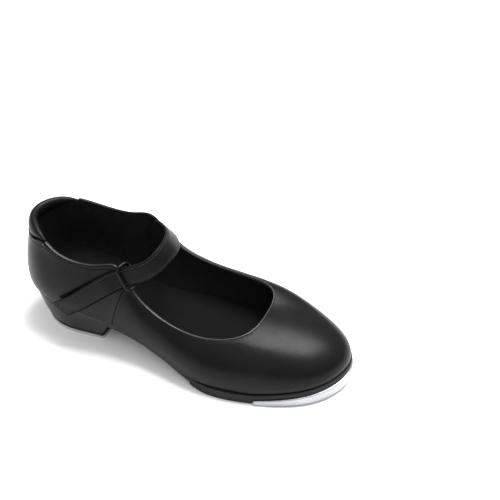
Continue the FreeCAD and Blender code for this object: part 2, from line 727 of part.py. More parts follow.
for item in doc.Objects:
    if item.State and ("Invalid" in item.State or "Error" in item.State):
        raise ValueError(f"{item.Label}: {item.State}")
pieces = [item for item in doc.Objects if item.TypeId in ("PartDesign::Body", "Part::Feature")
          and not item.getParentGeoFeatureGroup()]
for item in pieces:
    if item.Shape.isNull() or not item.Shape.isValid() or not item.Shape.Solids:
        raise ValueError(f"{item.Label} is not a valid solid")
    item.Shape.exportStep(f"parts/{item.Label}.step")
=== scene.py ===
import math

import bmesh
import bpy
import numpy as np
from mathutils import Matrix, Vector


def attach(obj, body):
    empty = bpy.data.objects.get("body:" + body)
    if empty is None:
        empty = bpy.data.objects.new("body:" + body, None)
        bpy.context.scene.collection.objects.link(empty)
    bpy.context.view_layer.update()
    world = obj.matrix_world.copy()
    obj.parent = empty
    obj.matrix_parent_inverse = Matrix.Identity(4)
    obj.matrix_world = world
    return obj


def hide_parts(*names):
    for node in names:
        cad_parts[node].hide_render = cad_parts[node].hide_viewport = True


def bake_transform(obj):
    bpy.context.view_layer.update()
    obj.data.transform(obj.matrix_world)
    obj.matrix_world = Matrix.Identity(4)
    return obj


# Looks of a woman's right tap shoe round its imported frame.  Metres, +X to the toe, +Y to the medial
# side, +Z up, the ground at z = 0.  MM turns the shoemaker's millimetres into metres.

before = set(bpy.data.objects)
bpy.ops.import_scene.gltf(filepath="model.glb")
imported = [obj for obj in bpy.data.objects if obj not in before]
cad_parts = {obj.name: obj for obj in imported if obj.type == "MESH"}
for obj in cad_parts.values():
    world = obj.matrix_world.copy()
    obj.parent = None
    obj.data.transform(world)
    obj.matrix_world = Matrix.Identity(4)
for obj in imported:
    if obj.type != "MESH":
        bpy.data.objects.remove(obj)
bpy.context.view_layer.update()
MM = 0.001

# ---------------------------------------------------------------- sizes
UPPER_PLY, LINING_PLY, EDGE_PLY = 1.3 * MM, 0.8 * MM, 2.2 * MM
LINING_DEPTH = 2.6 * MM
SEAT_HEIGHT, BALL_HEIGHT = 30.7 * MM, 8.5 * MM
SEAT_END, BALL_START, TOE_BREAK = -20 * MM, 118 * MM, 150 * MM
TOE_SPRING = math.radians(7.5)
SOLE_PLY, SOLE_MARGIN, SEAT_MARGIN, WAIST_MARGIN = 4.4 * MM, 1.1 * MM, -0.2 * MM, -1.4 * MM
TAP_PLY, TAP_MARGIN, TAP_SPRING = 4 * MM, 2.4 * MM, math.radians(2.5)
STRAP_WIDTH, STRAP_PLY, STRAP_LINING_PLY = 14 * MM, 1.2 * MM, 0.8 * MM
PLY_GAP = 0.1 * MM
FLAP_REACH, FLAP_TIP_SLANT, FLAP_FIRST = 61 * MM, 3 * MM, 0.03
FLAP_LOW, FLAP_HIGH = 0.3 * MM, 2.1 * MM

# ---------------------------------------------------------------- the last's shape
# Eighteen stations go once round the shoe from the heel's back along the lateral side: the point (x, y)
# on the feather line, the point on the topline, and the two handles of the curve between them.
STATIONS = [
    ((-31.5, 0), (-31.5, 0, 86), (-8, 0, 10), (-5, 0, -19)),
    ((-26, -18), (-20, -18, 84), (-7, -7, 9), (-5, -3, -18)),
    ((-7, -28.5), (2, -27, 75), (-2, -9, 10), (-1, -3, -14)),
    ((25, -29.5), (27, -25, 72), (-1, -6, 13), (0, -4, -13)),
    ((52, -31), (45, -24, 75), (0, -6, 14), (0, -5, -16)),
    ((84, -38), (62, -27, 53), (0, -5, 13), (2, -4, -10)),
    ((118, -45), (100, -32, 40), (0, -4, 15), (4, -6, -5)),
    ((158, -39), (132, -24, 41), (3, -3, 17), (10, -9, -1)),
    ((190, -23), (142, -8, 43), (4, -2, 18), (22, -6, -2)),
    ((203.5, 3), (143, 3, 43), (4, 0, 18), (28, 0, -2)),
    ((192, 25), (143, 14, 43), (4, 2, 18), (22, 6, -2)),
    ((160, 38), (135, 28, 45), (3, 3, 18), (12, 8, -1)),
    ((125, 41), (102, 33, 46), (0, 4, 16), (4, 8, -5)),
    ((85, 32), (66, 33, 57), (0, 5, 13), (2, 4, -10)),
    ((54, 25), (46, 33, 77), (0, 8, 14), (0, 4, -16)),
    ((27, 28), (27, 34, 74), (0, 8, 13), (0, 3, -13)),
    ((-7, 28), (2, 31, 77), (-2, 8, 11), (-1, 3, -14)),
    ((-26, 18), (-20, 20, 85), (-7, 6, 10), (-5, 2, -18)),
]
COUNT = len(STATIONS)


def unit(v):
    return v / np.maximum(np.linalg.norm(v, axis=-1, keepdims=True), 1e-12)


def smooth(value):
    value = np.clip(value, 0, 1)
    return value * value * (3 - 2 * value)


def loop_poles(points):
    """Poles of the closed cubic B-spline that passes through points, in metres."""
    points = np.array(points, float) * MM
    eye = np.eye(len(points))
    return np.linalg.solve((4 * eye + np.roll(eye, 1, 0) + np.roll(eye, -1, 0)) / 6, points)


def along(poles, s):
    """The closed spline's points at parameters s."""
    s = np.asarray(s, float)
    i = np.floor(s).astype(int)
    f = (s - i)[..., None]
    n = len(poles)
    a, b, c, d = (poles[(i + k) % n] for k in (-1, 0, 1, 2))
    return ((1 - f) ** 3 * a + (3 * f ** 3 - 6 * f ** 2 + 4) * b
            + (-3 * f ** 3 + 3 * f ** 2 + 3 * f + 1) * c + f ** 3 * d) / 6


FOOT = loop_poles([(*foot, 0) for foot, top, low, high in STATIONS])
TOP = loop_poles([top for foot, top, low, high in STATIONS])
LOW = loop_poles([(foot[0] + low[0], foot[1] + low[1], low[2]) for foot, top, low, high in STATIONS])
HIGH = loop_poles([np.add(top, high) for foot, top, low, high in STATIONS])


def ride(x):
    """Height of the outsole's top face."""
    fall = 0.5 * (1 + np.cos(np.pi * np.clip((x - SEAT_END) / (BALL_START - SEAT_END), 0, 1)))
    spring = np.maximum(0, x - TOE_BREAK) * math.tan(TOE_SPRING)
    return BALL_HEIGHT + (SEAT_HEIGHT - BALL_HEIGHT) * fall + spring


def upper(s, t):
    """The upper's outer face: s counts stations, t is 0 at the feather and 1 at the topline."""
    s, t = np.broadcast_arrays(np.asarray(s, float), np.asarray(t, float))
    foot, top, low, high = (along(poles, s) for poles in (FOOT, TOP, LOW, HIGH))
    rise = ride(foot[..., 0]) + PLY_GAP
    foot = foot + rise[..., None] * [0, 0, 1]
    low = low + rise[..., None] * [0, 0, 1]
    t = t[..., None]
    r = 1 - t
    return foot * r ** 3 + low * (3 * r * r * t) + high * (3 * r * t * t) + top * t ** 3


def normal(s, t, step=1e-3):
    return unit(np.cross(upper(s + step, t) - upper(s - step, t), upper(s, t + step) - upper(s, t - step)))


def skin(s, t, depth):
    """A point at a depth along the outward normal of the upper's outer face."""
    s, t, depth = np.broadcast_arrays(s, t, depth)
    return upper(s, t) + normal(s, t) * depth[..., None]


def topline_rate(s):
    """Metres of the skin to one unit of t, at the topline."""
    return 3 * np.linalg.norm(along(TOP, s) - along(HIGH, s), axis=-1)


def lateral_seam(t):
    """The station of the lateral side seam at t; medial_seam is the other side's."""
    return 3.55 + 0.2 * t + 0.95 * t * t


def medial_seam(t):
    return 14.5 - 0.2 * t - 0.75 * t * t


def scoop(s):
    """The quarter's top edge, which dips behind the heel to take the padded collar."""
    from_back = np.abs((s + COUNT / 2) % COUNT - COUNT / 2)
    return 0.86 + 0.14 * smooth((from_back - 0.75) / 0.75)


# ---------------------------------------------------------------- mesh making
def add_object(name, vertices, faces, uv=None):
    mesh = bpy.data.meshes.new(name)
    mesh.from_pydata(np.asarray(vertices).tolist(), [], faces)
    mesh.update()
    if uv is not None:
        layer = mesh.uv_layers.new(name="cloth")
        corners = np.empty(len(mesh.loops), int)
        mesh.loops.foreach_get("vertex_index", corners)
        layer.data.foreach_set("uv", np.asarray(uv, np.float32)[corners].ravel())
    piece = bpy.data.objects.new(name, mesh)
    bpy.context.scene.collection.objects.link(piece)
    mesh.shade_smooth()
    return piece


def bake_modifiers(piece):
    """The piece's mesh as its modifiers leave it."""
    graph = bpy.context.evaluated_depsgraph_get()
    mesh = bpy.data.meshes.new_from_object(piece.evaluated_get(graph))
    piece.modifiers.clear()
    piece.data = mesh
    return piece


def subdivide(piece):
    modifier = piece.modifiers.new("Subdivision", "SUBSURF")
    modifier.levels = modifier.render_levels = 1
    return bake_modifiers(piece)


def finish_piece(piece, material, nodes=(), body="root"):
    """Material, slot, replaced nodes and body of one piece."""
    piece.data.materials.clear()
    piece.data.materials.append(material)
    if nodes:
        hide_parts(*nodes)
    if body:
        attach(piece, body)


def quads(rows, columns, closed=False):
    """Faces of a grid whose vertex (i, j) is number i * columns + j; a closed grid's columns go round."""
    faces = []
    for i in range(0, (rows - 1) * columns, columns):
        for j in range(columns if closed else columns - 1):
            k = (j + 1) % columns
            faces.append((i + j, i + columns + j, i + columns + k, i + k))
    return faces


def lengths(points):
    """Metres walked along the first and second axis of a grid, as a flat list of UV pairs."""
    du = np.linalg.norm(np.diff(points, axis=0), axis=-1).mean(1)
    dv = np.linalg.norm(np.diff(points, axis=1), axis=-1).mean(0)
    u, v = np.concatenate([[0], np.cumsum(du)]), np.concatenate([[0], np.cumsum(dv)])
    return np.stack(np.meshgrid(u, v, indexing="ij"), -1).reshape(-1, 2)


def shell(name, outer, inner):
    """A closed thick sheet from two grids of the same size, its outer face first."""
    rows, columns = outer.shape[:2]
    half = rows * columns
    faces = quads(rows, columns)
    faces += [tuple(half + k for k in reversed(face)) for face in quads(rows, columns)]
    for i in range(rows - 1):
        low, high = i * columns, (i + 1) * columns
        faces.append((high, low, half + low, half + high))
        low, high = low + columns - 1, high + columns - 1
        faces.append((low, high, half + high, half + low))
    last = (rows - 1) * columns
    for j in range(columns - 1):
        faces.append((j, j + 1, half + j + 1, half + j))
        faces.append((last + j + 1, last + j, half + last + j, half + last + j + 1))
    vertices = np.concatenate([outer.reshape(-1, 3), inner.reshape(-1, 3)])
    uv = lengths(outer)
    return subdivide(add_object(name, vertices, faces, np.concatenate([uv, uv])))


def loft(name, rings):
    """Rings of points joined in order, with a fan of faces closing each end."""
    rings = np.asarray(rings)
    rows, columns = rings.shape[:2]
    faces = quads(rows, columns, closed=True)
    first, last = rows * columns, (rows - 1) * columns
    for j in range(columns):
        k = (j + 1) % columns
        faces += [(first, j, k), (first + 1, last + k, last + j)]
    return add_object(name, np.concatenate([rings.reshape(-1, 3), rings[[0, -1]].mean(1)]), faces)


def resample(path, normals, pitch):
    """Points and normals an even pitch apart along a path."""
    walked = np.concatenate([[0], np.cumsum(np.linalg.norm(np.diff(path, axis=0), axis=1))])
    count = max(1, int(walked[-1] / pitch))
    at = np.linspace(0, walked[-1], count + 1)
    points = np.stack([np.interp(at, walked, path[:, k]) for k in range(3)], -1)
    ups = np.stack([np.interp(at, walked, normals[:, k]) for k in range(3)], -1)
    return points, unit(ups)


STITCH_PITCH, STITCH_SHARE, THREAD = 2.6 * MM, 0.8, 0.24 * MM


def stitches(name, rows, thread=THREAD, pitch=STITCH_PITCH):
    """Sewn stitches along rows of (path, normals): each a short thread that dives in at both ends."""
    vertices, faces = [], []
    sides, rings = 6, 6
    angles = np.linspace(0, 2 * np.pi, sides, endpoint=False)
    for path, normals in rows:
        points, ups = resample(np.asarray(path), np.asarray(normals), pitch)
        for a, b, up, up_b in zip(points[:-1], points[1:], ups[:-1], ups[1:]):
            way = unit(b - a)
            middle, half = (a + b) / 2, (b - a) / 2 * STITCH_SHARE
            up = unit(up + up_b)
            across = unit(np.cross(way, up))
            base = len(vertices)
            for k in range(rings):
                w = -1 + 2 * k / (rings - 1)
                centre = middle + half * w + up * thread * (0.75 - 1.5 * w ** 4)
                radius = thread * (1 - 0.35 * w ** 4)
                for angle in angles:
                    vertices.append(centre + (across * math.cos(angle) + up * math.sin(angle)) * radius)
            for k in range(rings - 1):
                for j in range(sides):
                    n = (j + 1) % sides
                    faces.append((base + k * sides + j, base + k * sides + n,
                                  base + (k + 1) * sides + n, base + (k + 1) * sides + j))
            faces.append(tuple(base + j for j in reversed(range(sides))))
            faces.append(tuple(base + (rings - 1) * sides + j for j in range(sides)))
    return add_object(name, vertices, faces)


# ---------------------------------------------------------------- materials
def material(name):
    made = bpy.data.materials.new(name)
    made.use_nodes = True
    tree = made.node_tree
    return made, tree, tree.nodes["Principled BSDF"]


def node(tree, kind, values=None, **settings):
    made = tree.nodes.new(kind)
    for key, value in settings.items():
        setattr(made, key, value)
    for key, value in (values or {}).items():
        made.inputs[key].default_value = value
    return made


def noise(tree, size, detail=2.0, rough=0.5, stretch=None):
    """Noise with features about size across, in object space."""
    where = node(tree, "ShaderNodeTexCoord").outputs["Object"]
    if stretch:
        mapping = node(tree, "ShaderNodeMapping", {"Scale": stretch})
        tree.links.new(where, mapping.inputs["Vector"])
        where = mapping.outputs["Vector"]
    made = node(tree, "ShaderNodeTexNoise", {"Scale": 1 / size, "Detail": detail, "Roughness": rough})
    tree.links.new(where, made.inputs["Vector"])
    return made.outputs["Fac"]


def pebbles(tree, size):
    """Smooth cells about size across, as the grain of coated leather."""
    made = node(tree, "ShaderNodeTexVoronoi", {"Scale": 1 / size, "Smoothness": 0.7}, feature="SMOOTH_F1")
    tree.links.new(node(tree, "ShaderNodeTexCoord").outputs["Object"], made.inputs["Vector"])
    return made.outputs["Distance"]


def ranged(tree, value, low, high, source=(0.3, 0.7)):
    made = node(tree, "ShaderNodeMapRange", {"From Min": source[0], "From Max": source[1], "To Min": low,
                                             "To Max": high})
    tree.links.new(value, made.inputs["Value"])
    return made.outputs["Result"]


def tinted(tree, value, dark, light):
    made = node(tree, "ShaderNodeMix", {"A": (*dark, 1), "B": (*light, 1)}, data_type="RGBA")
    tree.links.new(value, made.inputs["Factor"])
    return made.outputs["Result"]


def bumped(tree, shader, heights):
    """Bump nodes in a chain, one for each (height, depth, strength)."""
    last = None
    for height, depth, strength in heights:
        made = node(tree, "ShaderNodeBump", {"Distance": depth, "Strength": strength})
        tree.links.new(height, made.inputs["Height"])
        if last:
            tree.links.new(last, made.inputs["Normal"])
        last = made.outputs["Normal"]
    tree.links.new(last, shader.inputs["Normal"])


def grey(value):
    return (value, value, value)


def feed(tree, shader, inputs):
    """Links or sets the shader's inputs by their names."""
    for name, value in inputs.items():
        if isinstance(value, (int, float)):
            shader.inputs[name].default_value = value
        else:
            tree.links.new(value, shader.inputs[name])


def leather(name, tone, roughness, grain=0.9 * MM, depth=0.02 * MM, spec=0.11):
    """Coated leather: a fine pebbled grain, cloudy tone and gloss."""
    made, tree, shader = material(name)
    clouds = noise(tree, 22 * MM, 4)
    feed(tree, shader, {
        "Base Color": tinted(tree, ranged(tree, clouds, 0, 1), grey(tone), grey(tone * 1.5)),
        "Roughness": ranged(tree, noise(tree, 9 * MM, 5, 0.6), roughness - 0.04, roughness + 0.05),
        "Specular IOR Level": spec,
    })
    fine = noise(tree, 0.35 * MM, 3, 0.6)
    bumped(tree, shader, [(pebbles(tree, grain), depth, 0.5), (fine, depth * 0.5, 0.5)])
    return made


def woven(name, tone, pitch=0.7 * MM, depth=0.08 * MM):
    """A matt cloth whose threads run along the piece's UV axes."""
    made, tree, shader = material(name)
    where = node(tree, "ShaderNodeUVMap", uv_map="cloth").outputs["UV"]
    weave = node(tree, "ShaderNodeMath", operation="MULTIPLY")
    for direction, socket in zip("XY", weave.inputs):
        wave = node(tree, "ShaderNodeTexWave", {"Scale": 1 / (pitch * 3.18), "Distortion": 0.4,
                                                "Detail": 1.0}, bands_direction=direction)
        tree.links.new(where, wave.inputs["Vector"])
        tree.links.new(wave.outputs["Fac"], socket)
    weave = weave.outputs["Value"]
    feed(tree, shader, {
        "Base Color": tinted(tree, ranged(tree, noise(tree, 6 * MM, 4), 0, 1), grey(tone), grey(tone * 1.8)),
        "Roughness": ranged(tree, weave, 0.95, 0.8, (0, 1)),
        "Specular IOR Level": 0.15, "Sheen Weight": 0.02, "Sheen Roughness": 0.5,
    })
    bumped(tree, shader, [(weave, depth, 0.4), (noise(tree, 0.4 * MM, 3), depth, 0.2)])
    return made


def moulded(name, tone, roughness, grain=0.5 * MM, depth=0.03 * MM, spec=0.5):
    """Moulded rubber or plastic with a fine texture and faint scuffs."""
    made, tree, shader = material(name)
    scuffs = noise(tree, 3 * MM, 6, 0.7, (1, 1, 0.25))
    feed(tree, shader, {
        "Base Color": tinted(tree, ranged(tree, scuffs, 0, 1), grey(tone), grey(tone * 1.7)),
        "Roughness": ranged(tree, scuffs, roughness + 0.06, roughness - 0.05),
        "Specular IOR Level": spec,
    })
    bumped(tree, shader, [(noise(tree, grain, 3), depth, 0.4)])
    return made


def metal(name, colour, roughness):
    """Bare metal with fine scratches and a slightly uneven polish."""
    made, tree, shader = material(name)
    scratches = noise(tree, 0.5 * MM, 5, 0.7, (1, 12, 1))
    dull = ranged(tree, noise(tree, 7 * MM, 3), 0, 1)
    feed(tree, shader, {
        "Metallic": 1.0,
        "Base Color": tinted(tree, dull, tuple(c * 0.86 for c in colour), colour),
        "Roughness": ranged(tree, scratches, roughness - 0.05, roughness + 0.1),
    })
    bumped(tree, shader, [(scratches, 0.01 * MM, 0.35)])
    return made


def enamel(name, tone, roughness):
    """Black lacquer over wire."""
    made, tree, shader = material(name)
    feed(tree, shader, {
        "Base Color": tinted(tree, noise(tree, 4 * MM, 3), grey(tone), grey(tone * 2)),
        "Roughness": ranged(tree, noise(tree, 1.5 * MM, 4), roughness - 0.04, roughness + 0.08),
        "Specular IOR Level": 0.12, "Coat Weight": 0.08, "Coat Roughness": 0.05,
    })
    bumped(tree, shader, [(noise(tree, 0.8 * MM, 3), 0.02 * MM, 0.3)])
    return made


def looped(name, tone, size):
    """Hook or loop tape: a dense field of small tufts."""
    made, tree, shader = material(name)
    tufts = pebbles(tree, size)
    feed(tree, shader, {
        "Base Color": tinted(tree, ranged(tree, tufts, 1, 0, (0.1, 0.9)), grey(tone), grey(tone * 3)),
        "Roughness": 0.9, "Sheen Weight": 0.3,
    })
    bumped(tree, shader, [(tufts, 0.4 * MM, 0.8), (noise(tree, 0.3 * MM, 3), 0.2 * MM, 0.5)])
    return made


def dulled(made, mask, gloss, roughness):
    """Where a mask is 1 the surface takes another gloss and roughness."""
    tree = made.node_tree
    shader = tree.nodes["Principled BSDF"]
    level = shader.inputs["Specular IOR Level"]
    tree.links.new(ranged(tree, mask, level.default_value, gloss, (0, 1)), level)
    was = shader.inputs["Roughness"].links[0].from_socket
    mixed = node(tree, "ShaderNodeMix", {"B": roughness}, data_type="FLOAT")
    tree.links.new(mask, mixed.inputs["Factor"])
    tree.links.new(was, mixed.inputs["A"])
    tree.links.new(mixed.outputs["Result"], shader.inputs["Roughness"])


def strap_shade_rim(made, start):
    """1 along the strap's edges beyond a length, from its UVs in metres: the mask of a painted shade line on
    the free end's edges.
    """
    tree = made.node_tree
    half = STRAP_WIDTH / 2
    parts = node(tree, "ShaderNodeSeparateXYZ")
    tree.links.new(node(tree, "ShaderNodeUVMap", uv_map="cloth").outputs["UV"], parts.inputs["Vector"])
    off = node(tree, "ShaderNodeMath", {1: half}, operation="SUBTRACT")
    tree.links.new(parts.outputs["Y"], off.inputs[0])
    away = node(tree, "ShaderNodeMath", operation="ABSOLUTE")
    tree.links.new(off.outputs["Value"], away.inputs[0])
    rim = ranged(tree, away.outputs["Value"], 0, 1, (half - 0.9 * MM, half - 0.3 * MM))
    late = ranged(tree, parts.outputs["X"], 0, 1, (start, start + 4 * MM))
    both = node(tree, "ShaderNodeMath", operation="MULTIPLY")
    tree.links.new(rim, both.inputs[0])
    tree.links.new(late, both.inputs[1])
    return both.outputs["Value"]


def waist_to_toe(made, start, end):
    """0 behind start, 1 ahead of end, along the shoe."""
    tree = made.node_tree
    parts = node(tree, "ShaderNodeSeparateXYZ")
    tree.links.new(node(tree, "ShaderNodeTexCoord").outputs["Object"], parts.inputs["Vector"])
    return ranged(tree, parts.outputs["X"], 0, 1, (start, end))


UPPER = leather("upper_leather", 0.0034, 0.3, grain=1.1 * MM, depth=0.08 * MM)
COLLAR = leather("collar_leather", 0.004, 0.38, grain=0.8 * MM, depth=0.03 * MM)
# The binding's tone is about nine times the upper's and its gloss higher: a painted highlight along the
# rounded top edge.
BINDING_PAINTED_HIGHLIGHT = leather("binding_leather", 0.03, 0.25, grain=0.6 * MM, spec=0.5)
# One edging leather in two painted copies: the lateral one lighter and glossier as a painted highlight, the
# medial one darker and dull as painted shade.
LIT_EDGES = leather("lateral_edge_leather_painted_highlight", 0.012, 0.28, grain=0.6 * MM, spec=0.4)
SHADED_EDGES = leather("medial_edge_leather_painted_shade", 0.003, 0.4, grain=0.6 * MM, spec=0.08)
STRAP = leather("strap_leather", 0.003, 0.36, spec=0.1)
# Painted shade: the free end's edges lose all gloss and turn rough, so they read as a dark shadow line along
# them.
dulled(STRAP, strap_shade_rim(STRAP, 95 * MM), 0.0, 0.9)
BACKING = leather("strap_backing", 0.005, 0.55, grain=0.6 * MM, depth=0.04 * MM, spec=0.2)
THREADS = leather("thread", 0.02, 0.45, grain=0.2 * MM, depth=0.05 * MM)
COLLAR_THREADS = leather("collar_thread", 0.06, 0.45, grain=0.2 * MM, depth=0.05 * MM)
PALE_THREADS = leather("bartack_thread", 0.06, 0.45, grain=0.2 * MM, depth=0.05 * MM)
LINING = woven("lining_fabric", 0.0045)
SOCK = woven("sock_fabric", 0.0011, 0.9 * MM)
BOARD = moulded("stiffener_board", 0.1, 0.8, 0.8 * MM)
FOAM = moulded("filler_foam", 0.2, 0.9, 0.6 * MM, 0.1 * MM)
STEEL = metal("bright_steel", (0.62, 0.62, 0.64), 0.25)
SOLE = moulded("sole_rubber", 0.0035, 0.38, spec=0.26)
dulled(SOLE, waist_to_toe(SOLE, 85 * MM, 110 * MM), 0.22, 0.6)
PAD = moulded("pad_rubber", 0.008, 0.62, 0.7 * MM, 0.06 * MM, spec=0.25)
# Both taps are one aluminium in two painted copies: the front one darker as painted shade, the rear one
# lighter as painted light so it stands out from the floor.
SHADED_ALUMINIUM = metal("front_tap_aluminium_painted_shade", (0.41, 0.42, 0.435), 0.24)
LIT_ALUMINIUM = metal("rear_tap_aluminium_painted_light", (0.6, 0.61, 0.63), 0.35)
HEEL = moulded("heel_plastic", 0.004, 0.35, 0.9 * MM, 0.02 * MM, spec=0.28)
TAPE = looped("fastener_tape", 0.012, 0.5 * MM)
RING = enamel("ring_metal", 0.001, 0.3)

CAD_LOOKS = {
    "toe_puff": BOARD, "heel_counter": BOARD, "strap_anchor_patch": BOARD, "insole_board": BOARD,
    "bottom_filler": FOAM, "shank": STEEL, "heel_tap_screws": STEEL, "toe_tap_screws": STEEL,
    "heel_screw": STEEL, "heel_nails": STEEL, "loop_patch": TAPE, "hook_patch": TAPE, "ring": RING,
    "ring_keeper": STRAP,
}
for name, look in CAD_LOOKS.items():
    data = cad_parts[name].data
    if not data.materials:
        data.materials.append(look)
    for index in range(len(data.materials)):
        data.materials[index] = look


# ---------------------------------------------------------------- upper and lining
EDGE_ROLL, STITCH_INSET = 0.8 * MM, 2.3 * MM
STATION_STEP, WALL_HEIGHT = 30 * MM, 45 * MM
BACK_SEAM = 0.004


def rolled(distance, radius=EDGE_ROLL):
    """How far an edge's face sinks at a distance from the edge: a quarter round."""
    inside = np.clip(radius - distance, 0, radius)
    return radius - np.sqrt(radius ** 2 - inside ** 2)


def groove(distance, at=STITCH_INSET, depth=0.34 * MM, width=0.4 * MM):
    """A line of stitching pulls the leather down along it."""
    return depth * np.exp(-((distance - at) / width) ** 2)


def fine_ends(count, span, steps=(0, 0.25, 0.6, 1.0, 1.6, 2.6)):
    """0 to 1 in count even steps, with short steps, in millimetres, near both ends of a span."""
    near = np.array(steps) * MM / span
    middle = np.linspace(near[-1], 1 - near[-1], count)[1:-1]
    return np.concatenate([near, middle, 1 - near[::-1]])


# Rows up the upper: shares of the way to the first top row, then distances under the top edge.
WALL_ROWS = np.concatenate([[0, 0.008, 0.02, 0.04, 0.07], np.linspace(0.1, 0.86, 22)]) / 0.9
TOP_ROWS = np.array([6.5, 4.6, 3.6, 3.0, 2.65, 2.3, 1.95, 1.5, 1.1, 0.75, 0.45, 0.2, 0.05]) * MM


def dents(points):
    """Soft unevenness of leather pulled over a last, in metres of depth."""
    x, z = points[..., 0] / MM, points[..., 2] / MM
    waves = (np.sin(x / 5.3 + z / 7.1) + np.sin(x / 8.7 - z / 4.9 + 2) + 0.7 * np.sin(x / 3.4 + z / 11 + 4)
             + 1.5 * np.sin(z / 6.2 - x / 23 + 1))
    quarter = np.clip((75 - x) / 40, 0, 1)
    return 0.07 * MM * waves * quarter


def upper_piece(name, node, start, end, top, count, sewn=True):
    """One leather piece of the upper, its edges rolled; a sewn one has a groove for its top stitches."""
    span = STATION_STEP * (end(0.5) - start(0.5))
    across = fine_ends(count, span)
    s_middle = start(0.5) + (end(0.5) - start(0.5)) * across
    top_t, rate = top(s_middle)[:, None], topline_rate(s_middle)[:, None]
    t = np.concatenate([WALL_ROWS * (top_t - TOP_ROWS[0] / rate), top_t - TOP_ROWS / rate], 1)
    s = start(t) + (end(t) - start(t)) * across[:, None]
    from_top = (top_t - t) * rate
    from_side = np.minimum(across, 1 - across)[:, None] * span
    from_foot = t * WALL_HEIGHT
    calm = smooth(np.minimum(from_top, from_foot) / (8 * MM)) * smooth(from_side / (6 * MM))
    sink = (rolled(from_top) + groove(from_top) * sewn + rolled(from_side, 0.7 * MM) + rolled(from_foot)
            + (0.3 * MM + dents(upper(s, t))) * calm)
    thick = UPPER_PLY + (EDGE_PLY - UPPER_PLY) * smooth(1 - from_top / (7 * MM))
    inner = np.maximum(thick - rolled(from_top) * 0.8, sink + 0.35 * MM)
    piece = shell(name, skin(s, t, -sink), skin(s, t, -inner))
    finish_piece(piece, UPPER, [node])


def top_of(s):
    return np.ones_like(s)


upper_piece("vamp_leather", "vamp", lateral_seam, medial_seam, top_of, 150, sewn=False)
upper_piece("lateral_quarter_leather", "quarter_lateral", lambda t: 0 * t + BACK_SEAM, lateral_seam,
            scoop, 60)
upper_piece("medial_quarter_leather", "quarter_medial", medial_seam, lambda t: 0 * t + COUNT - BACK_SEAM,
            scoop, 60)


def topline_row(start, end):
    """A row of stitches under the top edge, as a path and its normals."""
    s = np.linspace(start, end, 400)
    t = scoop(s) - STITCH_INSET / topline_rate(s)
    return skin(s, t, -0.16 * MM), normal(s, t)


COLLAR_END = 1.5
finish_piece(stitches("topline_stitches", [
    topline_row(COLLAR_END + 0.02, lateral_seam(1) - 0.1),
    topline_row(medial_seam(1) + 0.1, COUNT - COLLAR_END - 0.02),
]), THREADS)
finish_piece(stitches("collar_stitches", [
    topline_row(0.05, COLLAR_END),
    topline_row(COUNT - COLLAR_END, COUNT - 0.05),
]), COLLAR_THREADS)

# A bartack's points are in turn inside and outside the top edge: (depth, height, lean of the stitch).
TACK_STEP, TACK_POINTS = 0.045, 7
TACK_SIDES = (2.3 * MM, 0.6 * MM, 0.1), (0.35 * MM, 0.2 * MM, 0.8)


def bartack(start, step):
    """A zigzag sewn over the top edge, as one path and its normals for each stitch."""
    path, ups = [], []
    for k in range(TACK_POINTS):
        s = (start + step * k) % COUNT
        depth, height, lean = TACK_SIDES[k % 2]
        out, up = normal(np.array(s), np.array(1.0)), unit(along(TOP, s) - along(HIGH, s))
        path.append(along(TOP, s) - out * depth + up * height)
        ups.append(unit(out * lean + up))
    return [(path[k:k + 2], ups[k:k + 2]) for k in range(TACK_POINTS - 1)]


tacks = bartack(COLLAR_END, TACK_STEP) + bartack(-COLLAR_END, -TACK_STEP)
finish_piece(stitches("collar_bartacks", tacks, 0.2 * MM, 1.6 * MM), PALE_THREADS)


def lining_piece(name, node, start, end, top, count):
    """Cloth lining: it leaves the stiffened wall near the top and comes up to the folded edge."""
    span = STATION_STEP * (end(0.5) - start(0.5))
    across = fine_ends(count, span)
    share = np.concatenate([[0.02, 0.05], np.linspace(0.1, 0.84, 20), np.linspace(0.86, 0.985, 10)])
    s_middle = start(0.5) + (end(0.5) - start(0.5)) * across
    top_t = top(s_middle)[:, None]
    t = top_t * share
    s = start(t) + (end(t) - start(t)) * across[:, None]
    from_top = (top_t - t) * topline_rate(s_middle)[:, None]
    face = LINING_DEPTH - (LINING_DEPTH - UPPER_PLY - 0.25 * MM) * smooth(1 - from_top / (14 * MM))
    from_side = np.minimum(across, 1 - across)[:, None] * span
    inner = face + LINING_PLY - rolled(from_side, 0.5 * MM) * 0.6
    piece = shell(name, skin(s, t, -face), skin(s, t, -inner))
    finish_piece(piece, LINING, [node])
    return piece


def seam_tape(name, seam):
    """The tape behind a side seam, between leather and lining."""
    t = np.linspace(0.004, 0.97, 30)[:, None]
    s = seam(t) + np.linspace(-0.14, 0.14, 7)[None, :]
    piece = shell(name, skin(s, t, -1.35 * MM), skin(s, t, -1.95 * MM))
    finish_piece(piece, BACKING)


seam_tape("lateral_seam_tape", lateral_seam)
seam_tape("medial_seam_tape", medial_seam)

# The linings' seams lie a little beside the leather's.
LINING_SHIFT, LINING_GAP = 0.07, 0.01
VAMP_CLOTH = lining_piece("vamp_cloth", "vamp_lining", lambda t: lateral_seam(t) - LINING_SHIFT,
                          lambda t: medial_seam(t) + LINING_SHIFT, top_of, 90)
QUARTER_CLOTH = lining_piece("quarter_cloth", "quarter_lining",
                             lambda t: medial_seam(t) + LINING_SHIFT + LINING_GAP,
                             lambda t: lateral_seam(t) + COUNT - LINING_SHIFT - LINING_GAP, scoop, 90)


